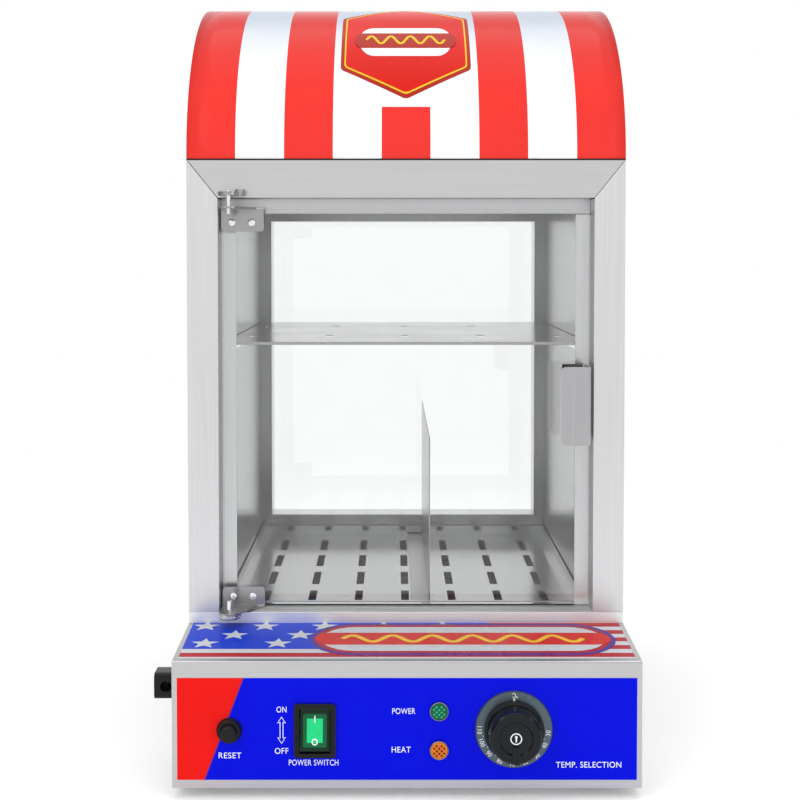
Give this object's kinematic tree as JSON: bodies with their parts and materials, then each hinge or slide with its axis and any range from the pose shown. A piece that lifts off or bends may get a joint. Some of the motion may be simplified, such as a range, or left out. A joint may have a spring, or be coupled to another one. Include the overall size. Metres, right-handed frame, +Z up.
{
  "type": "hot dog steamer cabinet",
  "caption": "Counter-top glazed hot dog steamer: barrel striped roof, hinged glass door, lift-out shelf, divider and slotted tray over a control base.",
  "frame": {"origin": "middle of the footprint of cabinet and base, on the plane the feet stand on", "axes": "+Z up, -Y towards the user in front of the door, +X to the user's right"},
  "size_m": [0.382, 0.4895, 0.6446],
  "materials": {
    "outer_steel": "brushed stainless sheet",
    "liner_steel": "bright stainless sheet",
    "hinge_steel": "satin stainless",
    "pin_steel": "polished",
    "zinc_plate": "zinc plated",
    "heater_sheath": "satin",
    "clear_glass": "clear toughened",
    "seal_rubber": "matt",
    "foot_rubber": "matt",
    "roof_paint": "gloss red and white stripes",
    "roof_end_paint": "gloss white",
    "control_film": "printed film, blue with a red corner",
    "ledge_film": "printed film, stars and stripes",
    "black_plastic": "moulded",
    "black_button": "moulded",
    "dial_plastic": "moulded with white print",
    "white_plastic": "moulded",
    "green_plastic": "translucent, lit",
    "green_lens": "translucent, faceted",
    "orange_lens": "translucent, faceted"
  },
  "bodies": {
    "cabinet": {"back_frame": "liner_steel", "base_bottom_plate": "outer_steel", "base_housing": "outer_steel", "cabinet_top_plate": "outer_steel", "ceiling_panel": "liner_steel", "control_overlay": "control_film", "cord_gland": "black_plastic", "foot_screws": "zinc_plate", "front_post_left": "outer_steel", "front_post_right": "outer_steel", "heat_lamp_lens": "orange_lens", "heating_element": "heater_sheath", "hinge_washers": "pin_steel", "inner_wall_left": "liner_steel", "inner_wall_right": "liner_steel", "lamp_bodies": "black_plastic", "ledge_overlay": "ledge_film", "lower_hinge_bracket": "hinge_steel", "lower_hinge_pin": "pin_steel", "power_lamp_lens": "green_lens", "rear_glass": "clear_glass", "rear_glass_seal": "seal_rubber", "rear_panel": "outer_steel", "rear_reveal": "outer_steel", "reset_cutout": "black_plastic", "rocker_housing": "black_plastic", "roof_cover": "roof_paint", "roof_end_left": "roof_end_paint", "roof_end_right": "roof_end_paint", "rubber_feet": "foot_rubber", "shelf_supports": "liner_steel", "side_panel_left": "outer_steel", "side_panel_right": "outer_steel", "sill_strip": "outer_steel", "terminal_block": "white_plastic", "thermostat_body": "zinc_plate", "thermostat_probe": "heater_sheath", "top_rail": "outer_steel", "upper_hinge_bracket": "hinge_steel", "upper_hinge_pin": "pin_steel", "wall_rivets": "hinge_steel", "water_pan": "liner_steel"},
    "door": {"door_glass": "clear_glass", "lower_hinge_leaf": "hinge_steel", "upper_hinge_leaf": "hinge_steel", "hinge_screws": "pin_steel", "hinge_backing_plates": "hinge_steel", "door_handle": "hinge_steel", "handle_screws": "pin_steel"},
    "dial": {"dial_skirt": "dial_plastic", "knob": "dial_plastic"},
    "rocker": {"rocker": "green_plastic"},
    "reset_button": {"reset_button": "black_button"},
    "shelf": {"shelf": "liner_steel"},
    "tray": {"perforated_tray": "liner_steel"},
    "divider": {"divider": "liner_steel"}
  },
  "joints": [
    {"name": "door_hinge", "type": "hinge", "parent": "cabinet", "child": "door", "pos_m": [-0.1445, -0.1565, 0.285], "axis": [0, 0, -1], "range_deg": [0, 110]},
    {"name": "thermostat_turn", "type": "hinge", "parent": "cabinet", "child": "dial", "pos_m": [0.0816, -0.2445, 0.054], "axis": [0, 1, 0], "range_deg": [0, 270]},
    {"name": "power_rocker", "type": "hinge", "parent": "cabinet", "child": "rocker", "pos_m": [-0.0705, -0.2295, 0.053], "axis": [1, 0, 0], "range_deg": [0, 20]},
    {"name": "reset_press", "type": "slide", "parent": "cabinet", "child": "reset_button", "axis": [0, 1, 0], "range_m": [0, 0.0025], "stiffness_N_per_m": 400, "springref_m": -0.002},
    {"name": "shelf_lift", "type": "slide", "parent": "cabinet", "child": "shelf", "axis": [0, 0, 1], "range_m": [0, 0.04]},
    {"name": "tray_lift", "type": "slide", "parent": "cabinet", "child": "tray", "axis": [0, 0, 1], "range_m": [0, 0.035]},
    {"name": "divider_lift", "type": "slide", "parent": "tray", "child": "divider", "axis": [0, 0, 1], "range_m": [0, 0.03]}
  ]
}
